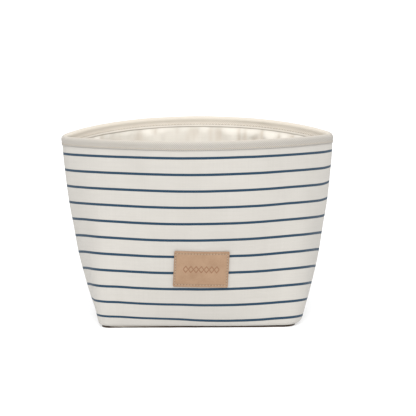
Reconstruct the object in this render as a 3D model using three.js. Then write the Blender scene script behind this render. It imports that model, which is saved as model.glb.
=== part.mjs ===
// A fabric storage bin: a soft, open-topped box of striped canvas with a flared, lens-shaped mouth.
// Its wall is three layers deep (canvas, padded interlining, lining), sewn round a stiffened base,
// bound at the rim with folded tape, and labelled on the front with a stitched leather patch.
//
// Millimetres, +Z up, the front faces -Y, and the origin is the middle of the base where it rests.

import * as THREE from "three";
import { TessellateModifier } from "three/addons/modifiers/TessellateModifier.js";
import { mergeVertices } from "three/addons/utils/BufferGeometryUtils.js";

// ---- Driving dimensions ---------------------------------------------------------------------

const rimWidth = 249; // across the mouth from seam to seam, outside the canvas
const rimDepth = 144; // front to back at the mouth
const rimEndRadius = 20; // how tightly the mouth turns at each side seam
const baseWidth = 192;
const baseDepth = 88;
const baseCornerRadius = 20;
const wallHeight = 174.5; // top edge of the cloth at the middle of the front and the back
const seamDip = 5.5; // how much lower the top edge is at the side seams
const dipPower = 2.2; // how closely the dip keeps to the seams
const flarePower = 1.64; // above 1 the wall spreads fastest near the base
const turnHeight = 9; // the wall turns in under itself below this height
const turnInset = 4; // by this much, had it reached the ground

const canvasThickness = 0.8;
const interliningThickness = 2.4;
const liningThickness = 0.5;
const boardThickness = 2;
const layerGap = 0.3; // between cloths that lie against each other

const tapeThickness = 0.8;
const tapeOuterLeg = 4.5; // how far the binding reaches down outside, below the cloth's top edge
const tapeInnerLeg = 5.5;
const tapeStitchInset = 1.2; // from the binding's lower edges to its line of stitching

const threadThickness = 0.5;

const labelWidth = 50;
const labelHeight = 34.5;
const labelThickness = 1.4;
const labelMiddleHeight = 58; // up the wall to the middle of the label
const labelCornerRadius = 1.5;
const labelStitchInset = 2.2;
const labelFacet = 12; // longest edge of a facet of the label
const labelSplits = 6; // times an edge may be halved to come under that

const aroundSteps = 32; // facets round one panel, from seam to seam
const upSteps = 8;
const seamCrowding = 0.5; // 0 spaces the facets evenly, towards 1 crowds them at the seams

// ---- Layers, worked out from the outside in ---------------------------------------------------

const interliningOutside = canvasThickness + layerGap;
const interliningInside = interliningOutside + interliningThickness;
const liningOutside = interliningInside + layerGap;
const wallThickness = liningOutside + liningThickness;

const wallBottom = canvasThickness + layerGap; // the wall and the board stand just over the base canvas
const boardTop = wallBottom + boardThickness;
const liningBottom = boardTop + layerGap;

// ---- The shape of the wall --------------------------------------------------------------------

// Half of a closed outline, from the left seam, round the front, to the right seam, with points found by
// their share of its length.
function halfOutline(curves) {
  const path = new THREE.CurvePath();
  curves.forEach((curve) => path.add(curve));
  const length = path.getLength();
  return { length, at: (share) => path.getPointAt(THREE.MathUtils.clamp(share, 0, 1)) };
}

function arc(x, y, radius, start, end) {
  return new THREE.ArcCurve(x, y, radius, start, end, false);
}

// The base is a rounded rectangle.
function baseOutline(inset = 0) {
  const x = baseWidth / 2 - baseCornerRadius;
  const y = baseDepth / 2 - baseCornerRadius;
  const radius = baseCornerRadius - inset;
  const side = baseWidth / 2 - inset;
  const front = baseDepth / 2 - inset;
  return halfOutline([
    new THREE.LineCurve(new THREE.Vector2(-side, 0), new THREE.Vector2(-side, -y)),
    arc(-x, -y, radius, Math.PI, 1.5 * Math.PI),
    new THREE.LineCurve(new THREE.Vector2(-x, -front), new THREE.Vector2(x, -front)),
    arc(x, -y, radius, 1.5 * Math.PI, 2 * Math.PI),
    new THREE.LineCurve(new THREE.Vector2(side, -y), new THREE.Vector2(side, 0)),
  ]);
}

// The mouth is a lens: a wide arc for the front and one for the back, joined by a small arc at each seam.
function rimOutline() {
  const endCentre = rimWidth / 2 - rimEndRadius;
  const rise = rimDepth / 2 - rimEndRadius;
  const wideCentre = (endCentre ** 2 - rise ** 2) / (2 * rise);
  const wideRadius = rimDepth / 2 + wideCentre;
  const turn = Math.atan2(wideCentre, endCentre);
  return halfOutline([
    arc(-endCentre, 0, rimEndRadius, Math.PI, Math.PI + turn),
    arc(0, wideCentre, wideRadius, Math.PI + turn, 2 * Math.PI - turn),
    arc(endCentre, 0, rimEndRadius, -turn, 0),
  ]);
}

const base = baseOutline();
const rim = rimOutline();

// Share 0 is the left seam, 0.5 the middle of the front and 1 the right seam. From 1 to 2 it is the
// back, which is the front turned half round.
function topHeight(share) {
  return wallHeight - seamDip * Math.abs(2 * (share % 1) - 1) ** dipPower;
}

function flareAt(share, height) {
  return 1 - Math.max(0, 1 - height / topHeight(share)) ** flarePower;
}

function turnAt(height) {
  return turnInset * Math.max(0, 1 - height / turnHeight);
}

function outsidePoint(share, height) {
  return base.at(share).lerp(rim.at(share), flareAt(share, height));
}

// A point of the wall, that far round, that high, and that far in from the canvas's outside.
function wallPoint(share, height, inset, target = new THREE.Vector3()) {
  const half = share % 1;
  const point = outsidePoint(half, height);
  const probe = 1e-3; // share to either side, between which the wall's direction is taken
  const before = outsidePoint(Math.max(half - probe, 0), height);
  const along = outsidePoint(Math.min(half + probe, 1), height).sub(before).normalize();
  const reach = inset + turnAt(height);
  const side = share >= 1 ? -1 : 1;
  return target.set(side * (point.x - reach * along.y), side * (point.y + reach * along.x), height);
}

// How long half the wall is round, at that height near the seams.
function halfLength(height) {
  return THREE.MathUtils.lerp(base.length, rim.length, flareAt(0, height));
}

// ---- Bending flat pieces on to the wall -------------------------------------------------------

// Leaves one closed surface, each point of which lies where the given function puts it.
function bend(geometry, place) {
  geometry.deleteAttribute("normal");
  geometry.deleteAttribute("uv");
  const closed = mergeVertices(geometry, 1e-6);
  const position = closed.attributes.position;
  const point = new THREE.Vector3();
  for (let i = 0; i < position.count; i += 1) {
    point.fromBufferAttribute(position, i);
    position.setXYZ(i, ...place(point.x, point.y, point.z).toArray());
  }
  closed.computeVertexNormals();
  return closed;
}

// A unit slab whose x runs round the bin, y inwards and z upwards, each from 0 to 1. Its outside and
// its inside are cut into the same triangles, so that layers bent alike keep an even gap.
function unitCloth(around, up) {
  const points = [];
  const triangles = [];
  const index = (i, y, j) => (y * (up + 1) + j) * (around + 1) + i;
  const quad = (a, b, c, d) => triangles.push(a, b, c, a, c, d);
  for (let y = 0; y <= 1; y += 1) {
    for (let j = 0; j <= up; j += 1) {
      for (let i = 0; i <= around; i += 1) {
        points.push(i / around, y, j / up);
      }
    }
  }
  for (let i = 0; i < around; i += 1) {
    for (let j = 0; j < up; j += 1) {
      quad(index(i, 0, j), index(i + 1, 0, j), index(i + 1, 0, j + 1), index(i, 0, j + 1));
      triangles.push(index(i, 1, j), index(i + 1, 1, j + 1), index(i + 1, 1, j));
      triangles.push(index(i, 1, j), index(i, 1, j + 1), index(i + 1, 1, j + 1));
    }
    quad(index(i, 0, 0), index(i, 1, 0), index(i + 1, 1, 0), index(i + 1, 0, 0));
    quad(index(i, 0, up), index(i + 1, 0, up), index(i + 1, 1, up), index(i, 1, up));
  }
  for (let j = 0; j < up; j += 1) {
    quad(index(0, 0, j), index(0, 0, j + 1), index(0, 1, j + 1), index(0, 1, j));
    quad(index(around, 0, j), index(around, 1, j), index(around, 1, j + 1), index(around, 0, j + 1));
  }
  const geometry = new THREE.BufferGeometry();
  geometry.setAttribute("position", new THREE.Float32BufferAttribute(points, 3));
  geometry.setIndex(triangles);
  return geometry;
}

// Facets lie closer together near the seams, where the bin turns most.
function crowdToSeams(x) {
  return x - (seamCrowding * Math.sin(2 * Math.PI * x)) / (2 * Math.PI);
}

// Height of a row of facets. The first is the cloth's bottom edge, the next the top of the turn at the
// base, and the last two the foot of the binding and the cloth's top edge. Those between crowd towards
// the base, where the wall spreads fastest.
function rowHeight(share, bottom, z) {
  const row = Math.round(z * upSteps);
  if (row === 0) {
    return bottom;
  }
  if (row === upSteps) {
    return topHeight(share);
  }
  const bindingFoot = topHeight(share) - Math.max(tapeOuterLeg, tapeInnerLeg);
  const up = (row - 1) / (upSteps - 2);
  return THREE.MathUtils.lerp(turnHeight, bindingFoot, up ** flarePower);
}

// One layer of the front or back wall, from seam to seam, between two insets.
function wallPanel(firstShare, bottom, outside, inside) {
  const seamRoom = threadThickness / 2 + layerGap;
  return bend(unitCloth(aroundSteps, upSteps), (x, y, z) => {
    const around = crowdToSeams(x);
    const height = rowHeight(around, bottom, z);
    const margin = seamRoom / halfLength(height);
    const share = firstShare + THREE.MathUtils.lerp(margin, 1 - margin, around);
    return wallPoint(share, height, THREE.MathUtils.lerp(outside, inside, y));
  });
}

// A thread or tape that runs right round the bin and leaves only a hair's gap where its ends meet. The
// given function says how far in and how high each point of its section is.
function ring(upSegments, section) {
  const endGap = layerGap / (base.length + rim.length);
  return bend(unitCloth(2 * aroundSteps, upSegments), (x, y, z) => {
    const share = THREE.MathUtils.lerp(endGap, 2 - endGap, crowdToSeams(2 * x) / 2);
    const { inset, height } = section(share, y, z);
    return wallPoint(share, height, inset);
  });
}

function threadRing(outside, heightAt) {
  return ring(1, (share, y, z) => ({
    inset: outside + y * threadThickness,
    height: heightAt(share) + z * threadThickness,
  }));
}

// The thread of one side seam: a fine upright line between the front and the back panels.
function seamThread(share, bottom, outside, depth) {
  return bend(unitCloth(1, upSteps), (x, y, z) => {
    const height = rowHeight(share, bottom, z);
    const point = wallPoint(share, height, outside + y * depth);
    point.y += (share === 1 ? 1 : -1) * (x - 0.5) * threadThickness;
    return point;
  });
}

// ---- Flat pieces of the base ------------------------------------------------------------------

function basePlate(inset, bottom, thickness) {
  const shape = new THREE.Shape();
  const half = baseOutline(inset);
  for (let i = 0; i < 2 * aroundSteps; i += 1) {
    const share = i / aroundSteps;
    const side = share >= 1 ? -1 : 1;
    const point = half.at(share % 1);
    shape[i === 0 ? "moveTo" : "lineTo"](side * point.x, side * point.y);
  }
  const plate = new THREE.ExtrudeGeometry(shape, { depth: thickness, bevelEnabled: false });
  return plate.translate(0, 0, bottom);
}

// ---- The label --------------------------------------------------------------------------------

// Where a point of the flat label lies on the wall: across and up from its middle, and out from the
// canvas.
function labelPlace(across, up, out) {
  const height = labelMiddleHeight + up;
  return wallPoint(0.5 + across / halfLength(labelMiddleHeight), height, -out);
}

function roundedRectangle(width, height, radius, path = new THREE.Shape()) {
  const x = width / 2 - radius;
  const y = height / 2 - radius;
  path.absarc(x, -y, radius, -Math.PI / 2, 0);
  path.absarc(x, y, radius, 0, Math.PI / 2);
  path.absarc(-x, y, radius, Math.PI / 2, Math.PI);
  path.absarc(-x, -y, radius, Math.PI, 1.5 * Math.PI);
  return path;
}

// Gives a flat shape its thickness, cuts it up finely enough to bend, and lays it on the wall.
function layOnLabelPlace(shape, thickness, out) {
  const options = { depth: thickness, bevelEnabled: false, curveSegments: 2 };
  const flat = new THREE.ExtrudeGeometry(shape, options);
  const fine = new TessellateModifier(labelFacet, labelSplits).modify(flat);
  return bend(fine, (x, y, z) => labelPlace(x, y, out + z));
}

function labelPatch() {
  const shape = roundedRectangle(labelWidth, labelHeight, labelCornerRadius);
  return layOnLabelPlace(shape, labelThickness, layerGap);
}

function labelThread() {
  const width = labelWidth - 2 * labelStitchInset;
  const height = labelHeight - 2 * labelStitchInset;
  const shape = roundedRectangle(width + threadThickness, height + threadThickness, labelCornerRadius);
  const holeRadius = labelCornerRadius - threadThickness;
  const hole = new THREE.Path();
  shape.holes.push(roundedRectangle(width - threadThickness, height - threadThickness, holeRadius, hole));
  return layOnLabelPlace(shape, threadThickness, layerGap + labelThickness + layerGap);
}

// ---- The rim binding --------------------------------------------------------------------------

// A tape folded over the wall's top edge: a leg down each side and a half circle over the top.
// z runs along the tape, from the foot of the outer leg, over the top, to the foot of the inner leg.
const foldSteps = 6;
const tapeSteps = foldSteps + 2;
const foldMiddle = wallThickness / 2;
const foldInsideRadius = wallThickness / 2 + layerGap;

function tapeSection(share, y, z) {
  const step = Math.round(z * tapeSteps);
  const radius = foldInsideRadius + (1 - y) * tapeThickness;
  const top = topHeight(share) + layerGap;
  if (step === 0) {
    return { inset: foldMiddle - radius, height: top - layerGap - tapeOuterLeg };
  }
  if (step === tapeSteps) {
    return { inset: foldMiddle + radius, height: top - layerGap - tapeInnerLeg };
  }
  const angle = (Math.PI * (step - 1)) / foldSteps;
  return { inset: foldMiddle - radius * Math.cos(angle), height: top + radius * Math.sin(angle) };
}

const tapeOutside = -(layerGap + tapeThickness);
const tapeInside = wallThickness + layerGap + tapeThickness;

// ---- Materials --------------------------------------------------------------------------------

function cloth(color, roughness = 0.95) {
  return new THREE.MeshStandardMaterial({ color, roughness, metalness: 0 });
}

const stripedCanvas = cloth(0xe6e2da);
const naturalCanvas = cloth(0xb9a58c);
const liningCotton = cloth(0xece6da, 0.85);
const interliningFelt = cloth(0xf3f2ee);
const bindingTwill = cloth(0xe4dccd);
const labelLeather = cloth(0xbd9a78, 0.6);
const sewingThread = cloth(0xd9cdb8, 0.7);
const boardCard = cloth(0x8f8577, 0.8);

// ---- Assembly ---------------------------------------------------------------------------------

const bin = new THREE.Group();

function add(name, geometry, material) {
  const mesh = new THREE.Mesh(geometry, material);
  mesh.name = name;
  bin.add(mesh);
}

const sides = [
  { side: "front", share: 0 },
  { side: "back", share: 1 },
];
for (const { side, share } of sides) {
  const canvas = wallPanel(share, wallBottom, 0, canvasThickness);
  const padding = wallPanel(share, wallBottom, interliningOutside, interliningInside);
  const lining = wallPanel(share, liningBottom, liningOutside, wallThickness);
  add(`outer_${side}_panel`, canvas, stripedCanvas);
  add(`${side}_interlining`, padding, interliningFelt);
  add(`lining_${side}_panel`, lining, liningCotton);
}

const baseThreadBottom = (canvasThickness - threadThickness) / 2;
const basePanelInset = turnInset + threadThickness + layerGap;
add("outer_base_panel", basePlate(basePanelInset, 0, canvasThickness), naturalCanvas);

const boardInset = wallThickness + turnAt(wallBottom) + layerGap;
add("base_board", basePlate(boardInset, wallBottom, boardThickness), boardCard);

const liningThreadInset = wallThickness + layerGap;
const liningBaseInset = liningThreadInset + turnAt(liningBottom) + threadThickness + layerGap;
add("lining_base_panel", basePlate(liningBaseInset, liningBottom, liningThickness), liningCotton);

add("rim_binding", ring(tapeSteps, tapeSection), bindingTwill);

const needleThreadInset = tapeOutside - layerGap - threadThickness;
const needleThreadHeight = (share) => topHeight(share) - tapeOuterLeg + tapeStitchInset;
add("rim_needle_thread", threadRing(needleThreadInset, needleThreadHeight), sewingThread);

const bobbinThreadInset = tapeInside + layerGap;
const bobbinThreadHeight = (share) => topHeight(share) - tapeInnerLeg + tapeStitchInset;
add("rim_bobbin_thread", threadRing(bobbinThreadInset, bobbinThreadHeight), sewingThread);

const seams = [
  { side: "left", share: 0 },
  { side: "right", share: 1 },
];
for (const { side, share } of seams) {
  const outerThread = seamThread(share, wallBottom, 0, canvasThickness);
  const liningThread = seamThread(share, liningBottom, liningOutside, liningThickness);
  add(`${side}_seam_thread`, outerThread, sewingThread);
  add(`lining_${side}_seam_thread`, liningThread, sewingThread);
}

add("base_seam_thread", threadRing(0, () => baseThreadBottom), sewingThread);
add("lining_base_seam_thread", threadRing(liningThreadInset, () => liningBottom), sewingThread);

add("leather_label", labelPatch(), labelLeather);
add("label_thread", labelThread(), sewingThread);

export default bin;
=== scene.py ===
# %% [markdown]
# # A fabric storage bin
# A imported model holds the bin's sizes: every layer of the wall, the base, the binding and the label are
# there as plain solids. This lesson keeps that model as a fixed frame and makes the cloth, the tape, the
# leather and the stitches that are seen round it. Lengths are in metres, Z is up and the label faces -Y.

# %% Load the frame
import math

import bmesh
import bpy
import numpy as np
from mathutils import Matrix, Vector, noise


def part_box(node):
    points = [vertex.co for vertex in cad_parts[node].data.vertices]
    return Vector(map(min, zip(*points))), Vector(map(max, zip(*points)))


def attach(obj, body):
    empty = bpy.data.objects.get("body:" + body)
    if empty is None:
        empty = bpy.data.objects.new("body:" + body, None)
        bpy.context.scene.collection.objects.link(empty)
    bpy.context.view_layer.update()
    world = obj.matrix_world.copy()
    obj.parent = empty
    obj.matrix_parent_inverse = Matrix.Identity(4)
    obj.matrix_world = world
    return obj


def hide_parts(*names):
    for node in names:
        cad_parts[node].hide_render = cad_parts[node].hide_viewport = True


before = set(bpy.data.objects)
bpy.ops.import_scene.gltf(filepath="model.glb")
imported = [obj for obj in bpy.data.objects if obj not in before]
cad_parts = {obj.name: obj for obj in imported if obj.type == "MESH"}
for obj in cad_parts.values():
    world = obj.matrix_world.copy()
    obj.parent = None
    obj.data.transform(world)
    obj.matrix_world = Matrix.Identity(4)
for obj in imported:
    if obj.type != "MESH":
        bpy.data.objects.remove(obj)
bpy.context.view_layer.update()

MM = 0.001

# %% [markdown]
# ## The camera
# A long lens far away keeps the bin's sides nearly parallel, as in a catalogue. The camera stands a
# little to the left of the middle and looks down into the mouth by about eleven degrees.

# %% Camera
VIEW_TURN = math.radians(-3.3)
VIEW_RISE = math.radians(11.5)
VIEW_DISTANCE = 2.54
LENS = 237.4
AIM_RIGHT = 9.7 * MM
AIM_HEIGHT = 104.5 * MM

level = Vector((math.cos(VIEW_TURN), math.sin(VIEW_TURN), 0))
towards_camera = Vector((
    math.sin(VIEW_TURN) * math.cos(VIEW_RISE),
    -math.cos(VIEW_TURN) * math.cos(VIEW_RISE),
    math.sin(VIEW_RISE),
))
camera = bpy.data.objects.new("camera", bpy.data.cameras.new("camera"))
camera.data.lens = LENS
camera.data.clip_end = 50
camera.location = level * AIM_RIGHT + Vector((0, 0, AIM_HEIGHT)) + towards_camera * VIEW_DISTANCE
camera.rotation_euler = (-towards_camera).to_track_quat("-Z", "Y").to_euler()
bpy.context.scene.collection.objects.link(camera)
bpy.context.scene.camera = camera
print("camera at", [round(x, 2) for x in camera.location])

# %% [markdown]
# ## The sizes
# The mouth, the base and the height come from the frame's solids. The thicknesses of the layers are
# named here, because each piece is laid so far in or out from the canvas's outside.

# %% Sizes
canvas_low, canvas_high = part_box("outer_front_panel")
base_low, base_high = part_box("outer_base_panel")
BASE_PANEL_INSET = 4.8 * MM  # from the wall's outline to the edge of the base panel

RIM_WIDTH = canvas_high.x - canvas_low.x
RIM_DEPTH = -2 * canvas_low.y
RIM_END_RADIUS = 20 * MM
BASE_WIDTH = base_high.x - base_low.x + 2 * BASE_PANEL_INSET
BASE_DEPTH = base_high.y - base_low.y + 2 * BASE_PANEL_INSET
BASE_CORNER_RADIUS = 20 * MM
CRISP_CORNER_RADIUS = 14 * MM  # at the left of the front and, half round, at the right of the back
WALL_TOP = canvas_high.z + 0.9 * MM  # the top edge stands a little proud of its pattern
SEAM_DIP = 5.5 * MM
DIP_POWER = 2.2
FLARE_POWER = 1.64

CANVAS = 0.8 * MM
PADDING_OUTSIDE = 1.1 * MM
PADDING = 2.4 * MM
LINING_OUTSIDE = 3.8 * MM
LINING = 0.5 * MM
WALL = LINING_OUTSIDE + LINING
print("mouth", round(RIM_WIDTH / MM), "x", round(RIM_DEPTH / MM), "mm, base", round(BASE_WIDTH / MM), "x",
      round(BASE_DEPTH / MM), "mm, wall", round(WALL_TOP / MM, 1), "mm high")

# %% [markdown]
# ## The shape of the wall
# The base is a rounded rectangle and the mouth is a lens, made of two wide arcs and two small ones. Half
# of each outline is drawn with arcs, from the left seam round the front to the right seam, and cut into
# even steps. A point of the wall lies between the two outlines. The back is the front turned half round,
# so one number says how far round a point is: 0 at the left seam, 1 at the right seam, 2 at the left again.

# %% Outlines
ARC_STEPS = 200
HALF_STEPS = 2001


def arc(centre_x, centre_y, radius, start, end):
    angles = np.linspace(start, end, ARC_STEPS)
    return np.column_stack([centre_x + radius * np.cos(angles), centre_y + radius * np.sin(angles)])


def even_steps(points):
    """The same line with points at even steps along it, and its length."""
    along = np.concatenate([[0], np.cumsum(np.hypot(*np.diff(points, axis=0).T))])
    at = np.linspace(0, along[-1], HALF_STEPS)
    return np.column_stack([np.interp(at, along, points[:, k]) for k in range(2)]), along[-1]


def base_half():
    x = BASE_WIDTH / 2 - BASE_CORNER_RADIUS
    y = BASE_DEPTH / 2 - BASE_CORNER_RADIUS
    tighter = BASE_CORNER_RADIUS - CRISP_CORNER_RADIUS
    left_seam = [[-BASE_WIDTH / 2, 0]]
    right_seam = [[BASE_WIDTH / 2, 0]]
    left_corner = arc(-x - tighter, -y - tighter, CRISP_CORNER_RADIUS, math.pi, 1.5 * math.pi)
    right_corner = arc(x, -y, BASE_CORNER_RADIUS, 1.5 * math.pi, 2 * math.pi)
    return even_steps(np.vstack([left_seam, left_corner, right_corner, right_seam]))


def rim_half():
    end_centre = RIM_WIDTH / 2 - RIM_END_RADIUS
    rise = RIM_DEPTH / 2 - RIM_END_RADIUS
    wide_centre = (end_centre**2 - rise**2) / (2 * rise)
    wide_radius = RIM_DEPTH / 2 + wide_centre
    turn = math.atan2(wide_centre, end_centre)
    left_end = arc(-end_centre, 0, RIM_END_RADIUS, math.pi, math.pi + turn)
    front = arc(0, wide_centre, wide_radius, math.pi + turn, 2 * math.pi - turn)
    right_end = arc(end_centre, 0, RIM_END_RADIUS, -turn, 0)
    return even_steps(np.vstack([left_end, front, right_end]))


BASE_HALF, BASE_LENGTH = base_half()
RIM_HALF, RIM_LENGTH = rim_half()
HALF_LENGTH = (BASE_LENGTH + RIM_LENGTH) / 2
print("half way round, mm: base", round(BASE_LENGTH / MM), "and rim", round(RIM_LENGTH / MM))

# %% [markdown]
# A sewn bag is never quite even. The body stands a little to the right of its mouth, and the base is
# turned by two and a half degrees. The wall is drawn in at its foot, less so at one crisp corner, and its
# foot stands a millimetre or two off the table. The cloth swells and sinks by about a millimetre and
# puckers at the base seam, the side seams lie in a shallow valley, and the wall turns under more softly
# at its right end. All the layers share these changes, so they stay clear of each other.

# %% The wall, with its unevenness
LEAN_AT_RIM = 0.7 * MM
LEAN_AT_BASE = 1.8 * MM
BASE_TWIST = math.radians(-2.6)
TUCK = 4.4 * MM  # how far the wall is drawn in at its foot
TUCK_FADE = 15 * MM
CRISP_AROUND = (0.15, 0.06)  # where the crisp corner is and how wide, in shares of half the bin
CRISP_TUCK = 0.45  # how much of the tuck it goes without
FOOT_HEIGHT = 1.75 * MM  # of the base seam above the table, on the whole
FOOT_LEFT = 0.4 * MM  # more at the left end, and as much less at the right end
FOOT_ENDS = 0.25 * MM  # more at both ends, and as much less in the middles
FOOT_RIPPLE = 0.2 * MM
FOOT_FRONT = 0.4 * MM  # more on the right of the front
FOOT_FRONT_AROUND = (0.72, 0.2)
SWELL = 1.1 * MM
SWELL_TURN = 1.9  # waves round the bin
SWELL_RISE = 70 * MM  # and up it
SWELL_FINER = 2.3  # the second waves are this much finer, and half as deep
FRONT_RISE = 0.8 * MM  # the front's top edge stands this much higher than the back's
PUCKER = 0.44 * MM
PUCKER_TURN = 13
PUCKER_RISE = 30 * MM
PUCKER_FADE = 7 * MM
VALLEY_DEPTH = 0.9 * MM
VALLEY_WIDTH = 1.3 * MM
TURN_RADIUS = 2.3 * MM
SOFT_TURN = 3.0 * MM  # more radius at the right end of the base
SOFT_TURN_WIDE = 0.16
TURN_SLACK = math.pi / 2 - 1  # cloth that a turn takes up beyond its height, in radii


def bump(value, middle, width):
    """1 at the middle, and less and less away from it."""
    return np.exp(-(((value - middle) / width) ** 2))


def spread(half, around):
    """Points of a whole outline, where half is its front half."""
    side = np.where(np.floor(around) % 2 == 0, 1.0, -1.0)
    share = around - np.floor(around)
    at = np.linspace(0, 1, HALF_STEPS)
    return side[:, None] * np.column_stack([np.interp(share, at, half[:, k]) for k in range(2)])


def top_height(around):
    """How high the top edge is above the table."""
    from_middle = np.abs(2 * (around - np.floor(around)) - 1)
    front = np.where(around % 2 < 1, FRONT_RISE * (1 - from_middle**2), 0)
    return WALL_TOP + front - SEAM_DIP * from_middle**DIP_POWER


def foot_height(around):
    """How high the base seam is above the table."""
    turn = np.pi * around
    height = FOOT_HEIGHT + FOOT_LEFT * np.cos(turn) + FOOT_ENDS * np.cos(2 * turn)
    return height - FOOT_RIPPLE * np.sin(4 * turn) + FOOT_FRONT * bump(around % 2, *FOOT_FRONT_AROUND)


def turn_radius(around):
    """Radius of the turn from the wall to the base."""
    return TURN_RADIUS + SOFT_TURN * bump(around % 2, 1, SOFT_TURN_WIDE)


def outline_at(around, rise):
    """Points between the two outlines, where rise is 0 at the base and 1 at the rim."""
    drop = np.clip(1 - rise, 0, 1)
    to_rim = (1 - drop**FLARE_POWER)[:, None]
    point = spread(BASE_HALF, around) * (1 - to_rim) + spread(RIM_HALF, around) * to_rim
    twist = BASE_TWIST * drop**3
    x = point[:, 0] * np.cos(twist) - point[:, 1] * np.sin(twist)
    y = point[:, 0] * np.sin(twist) + point[:, 1] * np.cos(twist)
    return np.column_stack([x, y])


def noise_at(*columns):
    """Smooth noise between about -1 and 1 at each row's place."""
    return np.array([noise.noise(Vector(p)) for p in np.column_stack(columns)])


def ring_at(around):
    """A place on a circle, so that what is worked out from it meets itself all the way round."""
    angle = np.pi * around
    return np.column_stack([np.cos(angle), np.sin(angle)])


def swell(around, height):
    """Slow waves in the cloth and puckers at its foot, the same for every layer."""
    slow = np.column_stack([SWELL_TURN * ring_at(around), height / SWELL_RISE])
    waves = noise_at(slow) + 0.5 * noise_at(SWELL_FINER * slow + 7)
    held = np.sin(np.pi * np.clip(height / WALL_TOP, 0, 1)) ** 0.5
    puckers = noise_at(PUCKER_TURN * ring_at(around), height / PUCKER_RISE) * np.exp(-height / PUCKER_FADE)
    return SWELL * waves * held + PUCKER * puckers


def wall(around, up, out=0.0):
    """Points of the wall: around in shares of half the bin, up in metres of cloth above the base seam,
    and out in metres from the canvas's outside."""
    around, up, out = (np.asarray(x, float) for x in np.broadcast_arrays(around, up, out))
    radius = turn_radius(around)
    angle = np.clip(up / radius, 0, math.pi / 2)
    above = radius * (1 - np.cos(angle)) + np.maximum(up - radius * math.pi / 2, 0)
    under = radius * (1 - np.sin(angle))
    height = foot_height(around) + above
    rise = height / top_height(around)
    probe = 2e-3
    point = outline_at(around, rise)
    along = outline_at(around + probe, rise) - outline_at(around - probe, rise)
    along /= np.hypot(*along.T)[:, None]
    outward = np.column_stack([along[:, 1], -along[:, 0]])
    from_seam = np.abs(around - np.round(around)) * HALF_LENGTH
    valley = VALLEY_DEPTH * bump(from_seam, 0, VALLEY_WIDTH)
    crisp = bump(around % 2, *CRISP_AROUND)
    tuck = TUCK * (1 - CRISP_TUCK * crisp) * np.exp(-height / TUCK_FADE)
    reach = out + swell(around, height) - under - valley - tuck
    point = point + outward * reach[:, None]
    drop = np.clip(1 - rise, 0, 1)
    lean = LEAN_AT_RIM * (1 - (1 - drop) ** 8) + LEAN_AT_BASE * drop**3
    return np.column_stack([point[:, 0] + lean, point[:, 1], height])


def cloth_at(around, height):
    """Metres of cloth from the base seam up to a height above the table."""
    return height - foot_height(around) + turn_radius(around) * TURN_SLACK


def cloth_length(around):
    """Metres of cloth from the base seam to the top edge."""
    return cloth_at(around, top_height(around))


middle = wall([0.5], cloth_length(np.array([0.5])))[0]
print("top edge at the middle of the front, mm:", np.round(middle / MM, 1))

# %% [markdown]
# ## Helpers for cloth
# Every cloth starts as a flat grid, as if cut from the roll, and is laid on the bin by moving its points.
# The grid's own UV map holds metres of cloth, so that threads and stripes keep their real size.

# %% Cloth helpers
WEFT_DIP = 7.4 * MM  # how much the weft falls towards the side seams
DIP_FULL = 0.22  # share of the wall's height where the dip has reached its full depth
WEFT_UPPER = 2.3 * MM  # how much higher it lies on the upper wall
UPPER_FULL = 0.65
WEFT_CORNER = 2.6 * MM  # how much it rises above the corners of the base
CORNER_FROM_MIDDLE = (0.65, 0.23)  # where they are and how wide, in shares of a panel's half
RIGHT_END = 2.8 * MM  # how much it turns up again close to the right seam
LEFT_END = 1.1 * MM
END_WIDE = 0.05
END_HEIGHT = 0.72  # share of the wall's height where it turns up most
END_TALL = 0.2
WEFT_LIFT = 3.1 * MM  # how much it rises at the foot, on the left of the front
WEFT_DROP = 1.2 * MM  # and falls on its right
SLANT_MIDDLE = 0.46
SLANT_WIDE = 0.07
SLANT_FADE = 17 * MM


def ease(share):
    """From 0 to 1, slowly at both ends."""
    share = np.clip(share, 0, 1)
    return share**2 * (3 - 2 * share)


def cloth_height(around, up):
    """Where a point is on the flat cloth, measured up from the table. The weft isn't quite level on the
    bin, and where it rises by some length, a point of the bin is that much lower on the flat cloth."""
    from_middle = np.abs(2 * (around - np.floor(around)) - 1)
    share = np.clip(up / cloth_length(around), 0, 1)
    dip = WEFT_DIP * from_middle ** (2 + 5 * (1 - share)) * ease(share / DIP_FULL)
    upper = WEFT_UPPER * ease(share / UPPER_FULL)
    corner = WEFT_CORNER * (1 - share) ** 2 * bump(from_middle, *CORNER_FROM_MIDDLE)
    level = up + foot_height(around) - turn_radius(around) * TURN_SLACK
    from_seam = np.abs(around - np.round(around))
    end = np.where(np.round(around) % 2 == 1, RIGHT_END, LEFT_END)
    end = end * np.exp(-((from_seam / END_WIDE) ** 2) - ((share - END_HEIGHT) / END_TALL) ** 2)
    right = 0.5 + 0.5 * np.tanh((around % 2 - SLANT_MIDDLE) / SLANT_WIDE)
    slant = (WEFT_LIFT * (1 - right) - WEFT_DROP * right) * np.exp(-level / SLANT_FADE)
    return level + dip - upper - corner - end - slant * np.clip(2 - around % 2, 0, 1)


def crowd_to_seams(share, amount=0.7):
    """Columns closer together towards both ends of a panel, where the bin turns most."""
    return share - amount * np.sin(2 * np.pi * share) / (2 * np.pi)


def keep(name, bm):
    """Makes a smooth object of what has been drawn in bm."""
    mesh = bpy.data.meshes.new(name)
    bm.to_mesh(mesh)
    bm.free()
    mesh.shade_smooth()
    piece = bpy.data.objects.new(name, mesh)
    bpy.context.scene.collection.objects.link(piece)
    return piece


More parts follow.
